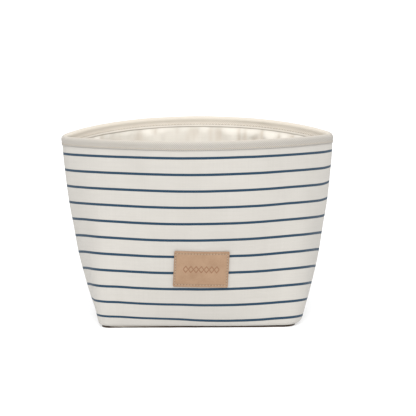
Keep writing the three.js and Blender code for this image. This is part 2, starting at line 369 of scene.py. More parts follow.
def lay_cloth(name, across, up, place, metres, closed=False):
    """A grid of across by up squares. place gives each point from its shares across and up, and metres
    gives its place on the flat cloth. A closed one is joined where its two ends meet."""
    bm = bmesh.new()
    uv = bm.loops.layers.uv.new("UVMap")
    bmesh.ops.create_grid(bm, x_segments=across, y_segments=up, size=0.5, calc_uvs=True)
    bm.verts.ensure_lookup_table()
    shares = np.array([v.co[:2] for v in bm.verts]) + 0.5
    flat = metres(shares[:, 0], shares[:, 1])
    for vert, point in zip(bm.verts, place(shares[:, 0], shares[:, 1])):
        vert.co = point
    for face in bm.faces:
        for loop in face.loops:
            loop[uv].uv = flat[loop.vert.index]
    if closed:
        bmesh.ops.remove_doubles(bm, verts=bm.verts, dist=0.01 * MM)
    return keep(name, bm)


def flat_places(mesh):
    """Where each point is on the flat cloth, read back from the UV map."""
    flat = np.zeros((len(mesh.vertices), 2))
    for loop, place in zip(mesh.loops, mesh.uv_layers[0].data):
        flat[loop.vertex_index] = place.uv
    return flat


def note(mesh, name, values):
    """Keeps one number for each point, which a finish can read by its name."""
    mesh.attributes.new(name, "FLOAT", "POINT").data.foreach_set("value", values)


def thicken(piece, thickness):
    """Gives a sheet its thickness on the side that its faces point away from."""
    solid = piece.modifiers.new("thickness", "SOLIDIFY")
    solid.thickness = thickness
    solid.offset = -1
    return piece


def dress(piece, finish, node):
    """Gives a piece its finish, hides the solid of the frame that it stands for, and hangs it on the root
    body.
    """
    piece.data.materials.append(finish)
    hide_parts(node)
    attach(piece, "root")


# %% [markdown]
# ## Shader helpers
# A finish is written as sums. The class below wraps a socket, so that an expression on it adds the Math
# nodes that work it out, and its node method adds any other node.

# %% Shader helpers
class Wire:
    """A shader socket that Python's operators work on."""

    def __init__(self, tree, socket=None):
        self.tree = tree
        self.socket = socket

    def node(self, kind, settings=(), inputs=(), output=0):
        """Adds a node: its settings first, then the values or wires of its sockets."""
        made = self.tree.nodes.new(kind)
        for name, value in dict(settings).items():
            setattr(made, name, value)
        for key, value in dict(inputs).items():
            if isinstance(value, Wire):
                self.tree.links.new(value.socket, made.inputs[key])
            else:
                made.inputs[key].default_value = value
        return Wire(self.tree, made.outputs[output])

    def noted(self, name):
        """The number that note has kept for each point."""
        read = {"attribute_type": "GEOMETRY", "attribute_name": name}
        return self.node("ShaderNodeAttribute", read, (), "Fac")

    def math(self, operation, *values):
        return self.node("ShaderNodeMath", {"operation": operation}, enumerate(values))

    def __add__(self, other):
        return self.math("ADD", self, other)

    def __sub__(self, other):
        return self.math("SUBTRACT", self, other)

    def __rsub__(self, other):
        return self.math("SUBTRACT", other, self)

    def __mul__(self, other):
        return self.math("MULTIPLY", self, other)

    def __truediv__(self, other):
        return self.math("DIVIDE", self, other)

    def __abs__(self):
        return self.math("ABSOLUTE", self)

    __radd__ = __add__
    __rmul__ = __mul__


def sine(wire, pitch):
    """A wave of that pitch."""
    return wire.math("SINE", wire * (2 * math.pi / pitch))


def distance_to_line(wire, first, pitch):
    """How far a place is from the nearest of evenly spaced lines."""
    turns = wire.math("FRACT", (wire - first) / pitch + 0.5)
    return abs(turns - 0.5) * pitch


def inside(wire, half, softness):
    """1 where the wire is under half, 0 where it is over, with a soft edge."""
    limits = {"From Min": half - softness, "From Max": half + softness, "To Min": 1, "To Max": 0}
    limits["Value"] = wire
    return wire.node("ShaderNodeMapRange", {"interpolation_type": "SMOOTHSTEP"}, limits)


def blend(factor, first, second):
    return factor.node("ShaderNodeMix", {"data_type": "RGBA"}, {0: factor, 6: first, 7: second}, 2)


def cloudy(vector, scale, detail=3.0, rough=0.55):
    values = {"Vector": vector, "Scale": scale, "Detail": detail, "Roughness": rough}
    return vector.node("ShaderNodeTexNoise", (), values)


def stretched(wire, u, v, along, across):
    """A place for noise that is drawn out along one way of the cloth."""
    return wire.node("ShaderNodeCombineXYZ", (), {0: u * along, 1: v * across})


def new_finish(name, roughness, sheen=0.0, specular=0.3):
    """A material, its two cloth coordinates in metres, its place in space, and its shader."""
    material = bpy.data.materials.new(name)
    material.use_nodes = True
    tree = material.node_tree
    shader = tree.nodes["Principled BSDF"]
    shader.inputs["Roughness"].default_value = roughness
    shader.inputs["Sheen Weight"].default_value = sheen
    shader.inputs["Sheen Roughness"].default_value = 0.5
    shader.inputs["Specular IOR Level"].default_value = specular
    start = Wire(tree)
    uv = start.node("ShaderNodeUVMap", {"uv_map": "UVMap"})
    u = uv.node("ShaderNodeSeparateXYZ", (), {0: uv}, 0)
    v = uv.node("ShaderNodeSeparateXYZ", (), {0: uv}, 1)
    space = start.node("ShaderNodeTexCoord", (), (), "Object")
    return material, u, v, space, shader


def finish_with(shader, color, height=None, distance=0.2 * MM, strength=1.0):
    """Feeds the colour, and relief of that height, into the shader."""
    color.tree.links.new(color.socket, shader.inputs["Base Color"])
    if height is not None:
        values = {"Strength": strength, "Distance": distance, "Height": height}
        relief = color.node("ShaderNodeBump", (), values)
        color.tree.links.new(relief.socket, shader.inputs["Normal"])


def plain_weave(u, v, pitch):
    """Height of a plain weave: crosswise and lengthwise yarns by turns on top."""
    crown_u = abs(sine(u, 2 * pitch))
    crown_v = abs(sine(v, 2 * pitch))
    swap = sine(u, 2 * pitch) * sine(v, 2 * pitch)
    over = inside(swap, 0, 0.35)
    return crown_u * over + crown_v * (1 - over)


# %% [markdown]
# ## Striped canvas
# The outer cloth is a natural cotton canvas in plain weave with fine navy stripes woven into it. The
# stripes are measured up the cloth from its UV map, so they follow every swell of the wall. Slubs, yarns
# that are a little thicker for a while, give the cloth its faint streaks.

# %% Canvas finish
STRIPE_PITCH = 15.4 * MM
STRIPES = 11
TOP_STRIPE = 162.2 * MM
FIRST_STRIPE = TOP_STRIPE - (STRIPES - 1) * STRIPE_PITCH
STRIPE_WIDTH = 2.4 * MM
CANVAS_YARN = 0.5 * MM
NATURAL = (0.515, 0.493, 0.457, 1)
SLUB = (0.445, 0.424, 0.388, 1)
NAVY = (0.006, 0.030, 0.060, 1)
NAVY_WORN = (0.020, 0.052, 0.088, 1)


def canvas_finish(name, ground, streak, striped):
    material, u, v, space, shader = new_finish(name, roughness=0.92, sheen=0.15)
    slubs_across = cloudy(stretched(u, u, v, 22, 900), 1.0, 2.0)
    slubs_up = cloudy(stretched(u, u, v, 900, 22), 1.0, 2.0)
    patches = cloudy(space, 14, 3.0)
    streaks = (slubs_across * 0.5 + slubs_up * 0.3 + patches * 0.35 - 0.42) * 1.5
    slow = cloudy(stretched(u, u, v, 26, 9), 1.0, 2.0)
    color = blend(streaks, ground, streak)
    color = blend(slow * 1.6 - 0.75, color, streak)
    weave = plain_weave(u, v, CANVAS_YARN)
    # The gaps between the yarns are painted a little darker, as painted shade.
    color = blend((1 - weave) * 0.16, color, streak)
    if striped:
        wander = (cloudy(stretched(u, u, v, 60, 60), 1.0) - 0.5) * (0.25 * MM)
        off_stripe = distance_to_line(v + wander, FIRST_STRIPE, STRIPE_PITCH)
        stripe = inside(off_stripe, STRIPE_WIDTH / 2, 0.16 * MM)
        dye = blend(slubs_across * 0.8 + (1 - weave) * 0.3, NAVY, NAVY_WORN)
        color = blend(stripe, color, dye)
    height = weave + (slubs_across + slubs_up) * 0.8
    finish_with(shader, color, height, distance=0.12 * MM, strength=0.7)
    return material


striped_canvas = canvas_finish("striped_canvas", NATURAL, SLUB, striped=True)
print("canvas:", STRIPES, "stripes", round(STRIPE_PITCH / MM, 1), "mm apart")

# %% [markdown]
# ## The outer panels
# Two panels, one for the front and one for the back, meet at the side seams and turn under at the base.
# Rows are spaced by length of cloth, with extra ones in the tight turn at the foot.

# %% Outer panels
PANEL_ACROSS = 170
PANEL_UP = 104
FOOT_SHARE = 0.035  # share of a panel's height where the rows are closest together
FOOT_ROWS = 0.12


def row_share(up):
    """Rows closer together in the turn at the foot."""
    above = FOOT_SHARE + (up - FOOT_ROWS) / (1 - FOOT_ROWS) * (1 - FOOT_SHARE)
    return np.where(up < FOOT_ROWS, up / FOOT_ROWS * FOOT_SHARE, above)


def panel(name, first, out, across=PANEL_ACROSS, rows=PANEL_UP, foot=0.0, trim=0.0, inward=False):
    """A layer of the wall from seam to seam. first is 0 for the front and 1 for the back, foot says how
    much of the turn at the foot it leaves out, and trim how far its top edge is below the canvas's."""

    def around_of(share):
        return first + crowd_to_seams(1 - share if inward else share)

    def up_of(around, up):
        start = foot * turn_radius(around) * math.pi / 2
        return start + row_share(up) * (cloth_length(around) - trim - start)

    def place(share, up):
        around = around_of(share)
        return wall(around, up_of(around, up), out)

    def metres(share, up):
        around = around_of(share)
        return np.column_stack([around * HALF_LENGTH, cloth_height(around, up_of(around, up))])

    return lay_cloth(name, across, rows, place, metres)


outer_cloths = []
for first, side in enumerate(("front", "back")):
    cloth = thicken(panel(f"outer_{side}_cloth", first, 0.0), CANVAS)
    dress(cloth, striped_canvas, f"outer_{side}_panel")
    outer_cloths.append(cloth)
print("outer panels:", [len(c.data.polygons) for c in outer_cloths], "squares")

# %% [markdown]
# ## What is inside the wall
# Felt stands between the canvas and the lining and keeps the wall upright. It isn't seen, so its grid is
# coarse, but it follows the same swells. The board under the lining keeps the shape it has in the frame.

# %% Felt and board
def felt_finish():
    material, u, v, space, shader = new_finish("interlining_felt", roughness=1.0, sheen=0.2)
    fibres = cloudy(space, 900, 4.0, 0.7)
    color = blend(fibres, (0.86, 0.85, 0.82, 1), (0.74, 0.73, 0.70, 1))
    finish_with(shader, color, fibres, distance=0.3 * MM)
    return material


def card_finish():
    material, u, v, space, shader = new_finish("board_card", roughness=0.85)
    flecks = cloudy(space, 500, 5.0, 0.7)
    color = blend(flecks, (0.34, 0.31, 0.27, 1), (0.22, 0.20, 0.17, 1))
    finish_with(shader, color, flecks, distance=0.1 * MM)
    return material


FELT_ACROSS = 64
FELT_UP = 40
FELT_FOOT = 0.7  # share of the turn at the foot that it leaves out
FELT_TRIM = 1 * MM
interlining_felt = felt_finish()
for first, side in enumerate(("front", "back")):
    felt = panel(f"{side}_padding", first, -PADDING_OUTSIDE, FELT_ACROSS, FELT_UP, FELT_FOOT, FELT_TRIM)
    thicken(felt, PADDING)
    dress(felt, interlining_felt, f"{side}_interlining")

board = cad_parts["base_board"]
board.data.materials.clear()
board.data.materials.append(card_finish())
print("felt and board: hidden in the wall and the base")

# %% [markdown]
# ## The base
# The base is a panel of heavier, browner canvas, painted darker still as painted shade for the strip under
# the wall. Its edge is turned up into the base seam, so the wall stands a little off the table and a dark
# line shows under it. A circle with a cap is laid on the seam's line and inset ring by ring: the rings give
# the rolled edge, and the last one is the flat underside.

# %% Base cloths
BASE_POINTS = 220
BASE_CLOTH = 0.6 * MM
BASE_GAP = 0.15 * MM  # between the canvas and the turned-up edge
BASE_RINGS = [(0.6 * MM, 0.5 * MM), (1.6 * MM, 0.0), (8 * MM, 0.0)]
# The base cloth's brown is darkened further, as painted shade, so that the strip under the wall reads dark.
TAN_WITH_PAINTED_SHADE = (0.115, 0.074, 0.046, 1)
TAN_STREAK_WITH_PAINTED_SHADE = (0.07, 0.046, 0.03, 1)


def plan_area(points):
    """Area inside a closed line, seen from above."""
    x, y = points[:, 0], points[:, 1]
    return abs(float(np.sum(x * np.roll(y, -1) - y * np.roll(x, -1)))) / 2


def base_cloth(name, edge, rings, facing_up):
    """A panel whose edge is a closed line of points. Each ring is (distance inwards, height)."""
    bm = bmesh.new()
    uv = bm.loops.layers.uv.new("UVMap")
    made = bmesh.ops.create_circle(bm, cap_ends=True, segments=len(edge), radius=1)
    for vert, point in zip(made["verts"], edge):
        vert.co = point
    inside_edge = 0.0
    for inwards, height in rings:
        cap = max(bm.faces, key=lambda face: len(face.verts))
        bmesh.ops.inset_region(bm, faces=[cap], thickness=inwards - inside_edge, use_even_offset=True)
        for vert in cap.verts:
            vert.co.z = height
        inside_edge = inwards
    cap = max(bm.faces, key=lambda face: len(face.verts))
    bmesh.ops.poke(bm, faces=[cap])
    bm.normal_update()
    up = sum((face.normal.z * face.calc_area() for face in bm.faces))
    if (up > 0) != facing_up:
        bmesh.ops.reverse_faces(bm, faces=bm.faces)
    for face in bm.faces:
        for loop in face.loops:
            loop[uv].uv = loop.vert.co.xy
    return keep(name, bm)


base_around = np.linspace(0, 2, BASE_POINTS, endpoint=False)
base_edge = wall(base_around, 0.4 * MM, -CANVAS - BASE_GAP)
base_edge[:, 2] -= 0.1 * MM
outer_base = thicken(base_cloth("outer_base_cloth", base_edge, BASE_RINGS, facing_up=False), BASE_CLOTH)
natural_canvas = canvas_finish("natural_canvas", TAN_WITH_PAINTED_SHADE, TAN_STREAK_WITH_PAINTED_SHADE, striped=False)
dress(outer_base, natural_canvas, "outer_base_panel")
print("base panel:", round(plan_area(base_edge) * 1e4), "square cm")

# %% [markdown]
# ## The lining
# The lining is a thin soft cotton, cut a tenth wider than the wall so that it never pulls it in. The
# spare width gathers into soft upright folds, strongest under the binding. Uneven puckers are drawn first
# where the cloth should gather. Each panel is then a cloth simulation whose cut size is wider than its
# place, held at the binding, at the side seams and at the base. It runs ten times as large as the bin,
# because Blender's cloth is steadier at that size, and is scaled back afterwards. It pulls the puckers
# almost flat and adds softer folds of its own, so the settled folds are made a little deeper, and a share
# of the drawn puckers is added back. The creases between them are painted a browner shade, as painted
# shade.

# %% Lining finish
LINING_YARN = 0.32 * MM
COTTON = (0.725, 0.695, 0.64, 1)
COTTON_SHADE = (0.645, 0.605, 0.535, 1)
COTTON_CREASE_SHADE = (0.50, 0.415, 0.325, 1)


def cotton_finish():
    material, u, v, space, shader = new_finish("lining_cotton", roughness=0.85, sheen=0.2)
    threads_up = cloudy(stretched(u, u, v, 1400, 30), 1.0, 2.0)
    threads_across = cloudy(stretched(u, u, v, 30, 1400), 1.0, 2.0)
    weave = plain_weave(u, v, LINING_YARN)
    shade = (threads_up + threads_across) * 0.6 + cloudy(space, 12) * 0.4 - 0.45
    color = blend(shade, COTTON, COTTON_SHADE)
    # The creases are painted a browner shade, as painted shade.
    color = blend(u.noted("crease_shade") * 0.55, color, COTTON_CREASE_SHADE)
    finish_with(shader, color, weave + threads_up + threads_across, distance=0.06 * MM, strength=0.6)
    return material


lining_cotton = cotton_finish()
print("lining cotton: yarns", LINING_YARN / MM, "mm apart")

# %% Lining folds
LINING_ACROSS = 160
LINING_UP = 72
LINING_FOOT = 0.85  # share of the turn at the foot that it leaves out
LINING_TRIM = 1 * MM
SPARE_WIDTH = 1.1  # times the width of its place
SPARE_LENGTH = 1.006
TIMES_LARGER = 10
SETTLE_FRAMES = 26
INNER_LEG = 6.0 * MM  # of the tape that covers the top of the lining
HELD_TOP = 5.2 * MM
HELD_FOOT = 3 * MM
FOLD_SEED = 1.9 * MM
FOLD_GAIN = 1.3  # the settled folds are made this much deeper
SEED_KEPT = 0.7  # share of the drawn puckers that is added back
FOLD_PITCH = 9.5 * MM
FOLD_FADE = 60 * MM  # how far below the binding they are strong
SLOW_FOLD = 45 * MM  # how far down a pucker keeps its shape
SMALL_FOLD = 20 * MM
TOP_ROOM = 2.5 * MM  # they start and end gently within these
FOOT_ROOM = 25 * MM
EVERYWHERE = 0.45  # strength of the puckers outside the places below
PUCKERED = [(0.24, 0.17, 0.9), (0.645, 0.03, 0.8), (0.87, 0.05, 0.5)]  # place, width and strength
DEEPEST_FOLD = 4.5 * MM
TAPE_CLEAR = 0.2 * MM  # below the tape, folds may start
FIRST_DEPTH = 0.15 * MM
DEPTH_SLOPE = 0.55
CREASE = 0.13  # how much of each pucker is crease
SOFT_COTTON = {
    "quality": 5,
    "mass": 0.08,
    "tension_stiffness": 30,
    "compression_stiffness": 30,
    "shear_stiffness": 12,
    "bending_stiffness": 1.2,
    "air_damping": 3,
}


def fold_seed(around, height):
    """Upright puckers that tell the folds where to start, and how deep each point is in a crease, which
    sets its painted crease shade.
    """
    below = top_height(around) - HELD_TOP - height
    layer = np.ones_like(around)  # each noise is a slice at its own number of layers
    slant = 0.5 * noise_at(3.1 * ring_at(around), 5.2 * layer)
    along = (around * HALF_LENGTH + slant * below) / FOLD_PITCH
    waves = noise_at(along, below / SLOW_FOLD, 3.7 * layer)
    small = noise_at(2.3 * along, below / SMALL_FOLD, 8.1 * layer)
    strong = EVERYWHERE + sum(more * bump(around % 1, at, wide) for at, wide, more in PUCKERED)
    fade = np.exp(-np.clip(below, 0, None) / FOLD_FADE)
    room = np.clip(below / TOP_ROOM, 0, 1) * np.clip(height / FOOT_ROOM, 0, 1)
    depth = FOLD_SEED * (2.2 * np.abs(waves) + 0.8 * np.abs(small) * fade) * strong
    # This weight says how much painted shade each point gets in its crease.
    crease_shade = bump(waves, 0, CREASE) * np.clip(strong, 0, 1)
    return depth * room * (0.45 + 0.55 * fade), crease_shade * room * fade


def settle(piece, cut, held):
    """Runs the cloth from its place, with its cut size as its rest shape, and returns its points."""
    mesh = piece.data
    start = np.array([v.co for v in mesh.vertices])
    mesh.transform(Matrix.Scale(TIMES_LARGER, 4))
    piece.shape_key_add(name="placed")
    flat_key = piece.shape_key_add(name="cut")
    flat_key.data.foreach_set("co", (cut * TIMES_LARGER).ravel())
    pins = piece.vertex_groups.new(name="held")
    for index in np.flatnonzero(held):
        pins.add([int(index)], 1.0, "ADD")
    cloth = piece.modifiers.new("cloth", "CLOTH")
    cloth.settings.rest_shape_key = flat_key
    cloth.settings.vertex_group_mass = pins.name
    for setting, value in SOFT_COTTON.items():
        setattr(cloth.settings, setting, value)
    cloth.collision_settings.use_self_collision = False
    scene = bpy.context.scene
    cloth.point_cache.frame_start = 1
    cloth.point_cache.frame_end = SETTLE_FRAMES
    for step in range(1, SETTLE_FRAMES + 1):
        scene.frame_set(step)
    done = piece.evaluated_get(bpy.context.evaluated_depsgraph_get())
    settled = np.empty(len(mesh.vertices) * 3)
    done.data.vertices.foreach_get("co", settled)
    settled = settled.reshape(-1, 3) / TIMES_LARGER
    scene.frame_set(1)
    piece.modifiers.remove(cloth)
    piece.shape_key_clear()
    piece.vertex_groups.clear()
    mesh.vertices.foreach_set("co", start.ravel())
    return start, settled


def line_with(name, first):
    """A lining panel with its folds."""
    piece = panel(name, first, -WALL, LINING_ACROSS, LINING_UP, LINING_FOOT, LINING_TRIM, inward=True)
    mesh = piece.data
    flat = flat_places(mesh)
    around = flat[:, 0] / HALF_LENGTH
    points = np.array([v.co for v in mesh.vertices])
    up = cloth_at(around, points[:, 2])
    outward = wall(around, up, 0.0) - wall(around, up, -1 * MM)
    outward /= np.linalg.norm(outward, axis=1)[:, None]
    seed, crease_shade = fold_seed(around, points[:, 2])
    points -= outward * seed[:, None]
    note(mesh, "crease_shade", crease_shade)
    mesh.vertices.foreach_set("co", points.ravel())
    cut = np.column_stack([-flat[:, 0] * SPARE_WIDTH, 0 * around, flat[:, 1] * SPARE_LENGTH])
    from_seam = np.abs(around - np.round(around)) * HALF_LENGTH
    below_top = top_height(around) - points[:, 2]
    lowest = points[:, 2] < points[:, 2].min() + HELD_FOOT
    held = (below_top < HELD_TOP) | (from_seam < 0.5 * MM) | lowest
    start, settled = settle(piece, cut, held)
    moved = settled - start
    outwards = np.sum(moved * outward, axis=1)
    below_tape = np.clip(below_top - INNER_LEG - TAPE_CLEAR, 0, None)
    deepest = np.minimum(FIRST_DEPTH + DEPTH_SLOPE * below_tape, DEEPEST_FOLD)
    depth = np.clip(FOLD_GAIN * (seed - outwards) + SEED_KEPT * seed, 0, deepest)
    moved += outward * (seed - depth - outwards)[:, None]
    mesh.vertices.foreach_set("co", (start + moved).ravel())
    print(name, "folds up to", round(float(depth.max()) / MM, 1), "mm deep")
    mesh.update()
    return thicken(piece, LINING)


for first, side in enumerate(("front", "back")):
    lining = line_with(f"lining_{side}_cloth", first)
    dress(lining, lining_cotton, f"lining_{side}_panel")
    flat = (HALF_LENGTH * SPARE_WIDTH, WALL_TOP)

# %% Lining base
LINING_FLOOR = 3.4 * MM + LINING  # height of its upper side
FLOOR_GAP = 0.1 * MM  # from the lining's inside to its edge
FLOOR_RINGS = [(1.5 * MM, LINING_FLOOR), (9 * MM, LINING_FLOOR)]
floor_edge = wall(base_around, LINING_FOOT * turn_radius(base_around) * math.pi / 2, -WALL - FLOOR_GAP)
floor_edge[:, 2] = np.maximum(floor_edge[:, 2], LINING_FLOOR)
lining_base = thicken(base_cloth("lining_base_cloth", floor_edge, FLOOR_RINGS, facing_up=True), LINING)
dress(lining_base, lining_cotton, "lining_base_panel")
print("lining base:", round(plan_area(floor_edge) * 1e4), "square cm")

# %% [markdown]
# ## The rim binding
# The raw edges of canvas, felt and lining are wrapped in one herringbone tape, folded over the rim and
# sewn through. It is a little puffy along the fold, its two legs are pressed flat, and each stitch
# pinches it. Its section is drawn once, as a leg, a half circle and a leg, and carried right round the
# rim. The herringbone's spine runs along the fold, so its ribs lean one way outside and the other way
# inside. Its colour goes from greyer outside to paler inside, and palest at its inner hem: it is one tape,
# and the paler inside is painted light. The dips between its ribs are painted darker, as painted shade.

# %% Binding
TAPE_POINTS = 760
TAPE_ROWS = 30
TAPE = 0.5 * MM
OUTER_LEG = 4.6 * MM
FOLD_RADIUS = WALL / 2 + 1.1 * MM
TAPE_WIDTH = OUTER_LEG + math.pi * FOLD_RADIUS + INNER_LEG
TAPE_SPINE = OUTER_LEG + math.pi * FOLD_RADIUS / 2
OUTER_STITCH = 1.4 * MM
INNER_STITCH = TAPE_WIDTH - 2.4 * MM
STITCH_PITCH = 3.0 * MM
PUFF = 0.15 * MM  # how much the fold stands out
PRESS = 0.48 * MM  # how much the legs are pressed in
FOLD_HALF = 1.5 * MM  # from the spine to where the pressing starts
PRESS_WIDTH = 6 * MM  # from there to where it is full
PINCH = 0.13 * MM
PINCH_WIDTH = 0.55 * MM
UNEVEN = 0.16 * MM
UNEVEN_ALONG = 12 * MM
RIB_PITCH = 1.95 * MM
STRAND_PITCH = 0.9 * MM
SELVAGE = 2.0 * MM
# The inside and hem colours below are this same tape painted paler, as painted light.
TWILL_OUTSIDE = (0.475, 0.452, 0.415, 1)
TWILL_OUTSIDE_VALLEY_SHADE = (0.235, 0.21, 0.18, 1)
TWILL_INSIDE_LIT = (0.665, 0.627, 0.555, 1)
TWILL_INSIDE_VALLEY_SHADE = (0.62, 0.53, 0.43, 1)
TWILL_HEM_LIT = (0.92, 0.87, 0.79, 1)
TWILL_PATCH = (0.46, 0.41, 0.34, 1)
WHOLE_RIM = 2 * RIM_LENGTH


def tape_section(along):
    """The section of the tape: how far out and how far above the top edge, and which way it faces."""
    turn = np.clip((along - OUTER_LEG) / FOLD_RADIUS, 0, math.pi)
    above = FOLD_RADIUS * np.sin(turn) + np.minimum(along - OUTER_LEG, 0)
    above -= np.maximum(along - OUTER_LEG - math.pi * FOLD_RADIUS, 0)
    out = FOLD_RADIUS * np.cos(turn) - WALL / 2
    return out, above, np.cos(turn), np.sin(turn)


def tape_point(around, along, lift=0.0):
    """A point of the tape's outer face, lifted off it by lift."""
    out, above, face_out, face_up = tape_section(along)
    puff = PUFF - (PUFF + PRESS) * ease((np.abs(along - TAPE_SPINE) - FOLD_HALF) / PRESS_WIDTH)
    beat = 0.65 + 0.35 * np.cos(2 * math.pi * around * RIM_LENGTH / STITCH_PITCH)
    for stitch in (OUTER_STITCH, INNER_STITCH):
        puff = puff - PINCH * beat * bump(along, stitch, PINCH_WIDTH)
    puff = puff + UNEVEN * noise_at(9 * ring_at(around), along / UNEVEN_ALONG) + lift
    up = cloth_length(around) + above + puff * face_up
    return wall(around, up, out + puff * face_out)


def binding_finish():
    material, u, v, space, shader = new_finish("binding_twill", roughness=0.9, sheen=0.15)
    lean = TAPE_SPINE - abs(v - TAPE_SPINE)
    rib = abs(sine(u + lean, 2 * RIB_PITCH))
    strand = abs(sine(u - lean, STRAND_PITCH))
    selvage = inside(TAPE_WIDTH - v, SELVAGE, 0.2 * MM)
    cross_threads = plain_weave(u, v, 0.5 * MM)
    height = (rib * 0.8 + strand * 0.25) * (1 - selvage) + cross_threads * selvage * 0.6
    patches = cloudy(space, 90, 3.0)
    # The inner leg and its hem are the same tape, painted paler as painted light from the bright lining.
    lit_inside = inside(TAPE_WIDTH - v, TAPE_WIDTH - TAPE_SPINE + 0.8 * MM, 3 * MM)
    lit_hem = inside(TAPE_WIDTH - v, INNER_LEG - 1 * MM, 3 * MM)
    ground = blend(lit_inside, TWILL_OUTSIDE, TWILL_INSIDE_LIT)
    ground = blend(lit_hem, ground, TWILL_HEM_LIT)
    ground = blend(patches * 0.25, ground, TWILL_PATCH)
    # The dips between the herringbone's ribs are painted darker, as painted shade, and warmer on the inner
    # leg.
    valley_shade = (1 - rib) * (1 - selvage) * 0.8
    shade = blend(lit_inside, TWILL_OUTSIDE_VALLEY_SHADE, TWILL_INSIDE_VALLEY_SHADE)
    color = blend(valley_shade, ground, shade)
    finish_with(shader, color, height, distance=0.28 * MM, strength=0.9)
    return material


binding = lay_cloth(
    "rim_binding_tape",
    TAPE_POINTS,
    TAPE_ROWS,
    lambda share, along: tape_point(2 * share, along * TAPE_WIDTH),
    lambda share, along: np.column_stack([share * WHOLE_RIM, along * TAPE_WIDTH]),
    closed=True,
)
thicken(binding, TAPE)
dress(binding, binding_finish(), "rim_binding")
print("binding:", round(TAPE_WIDTH / MM, 1), "mm of tape round", round(WHOLE_RIM / MM), "mm of rim")

# %% [markdown]
# ## The stitches
# A sewn line is a row of short, plump lengths of thread that dip into the cloth at both ends. Each one is
# a low ball stretched along the line, turned to lie on the cloth and sunk a little way into it. Hundreds
# of them are needed, so each has only a few dozen faces.

# %% Stitches
THREAD = 0.5 * MM
STITCH_SHARE = 0.82  # of the pitch that shows as thread
BATCH = 12  # stitches made together, as small meshes are quicker to add to


def thread_finish(name, light, dark):
    material, u, v, space, shader = new_finish(name, roughness=0.6, sheen=0.1, specular=0.4)
    twist = abs(sine(u + v * 2.0, 1.0))
    # The grooves of the twist are painted darker, as painted shade.
    color = blend((1 - twist) * 0.7 + cloudy(space, 400) * 0.3, light, dark)
    finish_with(shader, color, twist, distance=0.08 * MM)
    return material


def sew(name, line, pitch, thick=THREAD, sink=0.15 * MM):
    """Stitches on a line. line gives points and the way out of the cloth for shares from 0 to 1, and
    the line is cut into stitches of about that pitch."""
    fine = np.linspace(0, 1, 1200)
    points, out = line(fine)
    along = np.concatenate([[0], np.cumsum(np.linalg.norm(np.diff(points, axis=0), axis=1))])
    count = max(1, round(along[-1] / pitch))
    ends = np.linspace(0, along[-1], count + 1)
    middles = (ends[:-1] + ends[1:]) / 2
    half = along[-1] / count * STITCH_SHARE / 2

    def at(where, values):
        return np.column_stack([np.interp(where, along, values[:, k]) for k in range(3)])

    centres, ways = at(middles, points), at(middles, out)
    starts, stops = (np.clip(middles + step, 0, along[-1]) for step in (-half, half))
    heads = at(stops, points) - at(starts, points)
    places = []
    for centre, way, head in zip(centres, ways, heads):
        forward = Vector(head).normalized()
        side = Vector(way).cross(forward).normalized()
        above = forward.cross(side)
        size = Matrix.Diagonal((thick / 2, thick / 2, half, 1))
        turn = Matrix((side, above, forward)).transposed().to_4x4()
        places.append(Matrix.Translation(Vector(centre) + above * (thick / 2 - sink)) @ turn @ size)
    ball = {"u_segments": 8, "v_segments": 6, "radius": 1, "calc_uvs": True}
    between = bpy.data.meshes.new("between")
    row = bmesh.new()
    for first in range(0, count, BATCH):
        batch = bmesh.new()
        batch.loops.layers.uv.new("UVMap")
        for place in places[first : first + BATCH]:
            bmesh.ops.create_uvsphere(batch, matrix=place, **ball)
        batch.to_mesh(between)
        batch.free()
        row.from_mesh(between)
    bpy.data.meshes.remove(between)
    print(name, count, "stitches")
    return keep(name, row)


def on_wall(place):
    """A line that lies on the surface that place gives, with the way out of it."""

    def line(share):
        points = place(share, 0.0)
        return points, (place(share, 0.1 * MM) - points) / (0.1 * MM)

    return line


def seam_line(around, out, low, high):
    """A side seam. out below zero sews the lining, seen from inside. It starts at the height low and
    stops by high short of the top edge."""
    facing = -1 if out < 0 else 1

    def place(share, lift):
        height = low + share * (top_height(np.array([around]))[0] - high - low)
        there = np.full_like(share, float(around))
        return wall(there, cloth_at(there, height), out + facing * lift)

    return on_wall(place)


def base_line(inset, height, facing):
    """A line round the base, inset from the canvas's outside. facing is 1 for the upper side."""

    def place(share, lift):
        around = 2 * share
        points = wall(around, 0.72 * turn_radius(around) * math.pi / 2, inset)
        points[:, 2] = height + facing * lift
        return points

    return on_wall(place)


sewing_thread = thread_finish("sewing_thread", (0.52, 0.455, 0.365, 1), (0.36, 0.30, 0.225, 1))
thread_lines = {
    "rim_needle_stitches": (
        on_wall(lambda share, lift: tape_point(2 * share, np.full_like(share, OUTER_STITCH), lift)),
        "rim_needle_thread",
    ),
    "rim_bobbin_stitches": (
        on_wall(lambda share, lift: tape_point(2 * share, np.full_like(share, INNER_STITCH), lift)),
        "rim_bobbin_thread",
    ),
    "left_seam_stitches": (seam_line(0, 0.0, 4 * MM, 5 * MM), "left_seam_thread"),
    "right_seam_stitches": (seam_line(1, 0.0, 8 * MM, 5 * MM), "right_seam_thread"),
    "lining_left_seam_stitches": (seam_line(0, -WALL, 8 * MM, 7 * MM), "lining_left_seam_thread"),
    "lining_right_seam_stitches": (seam_line(1, -WALL, 10 * MM, 7 * MM), "lining_right_seam_thread"),
    "base_seam_stitches": (base_line(-7.5 * MM, 0.4 * MM, -1), "base_seam_thread"),
    "lining_base_seam_stitches": (base_line(-WALL - 3 * MM, LINING_FLOOR, 1), "lining_base_seam_thread"),
}
for name, (line, node) in thread_lines.items():
    dress(sew(name, line, STITCH_PITCH), sewing_thread, node)

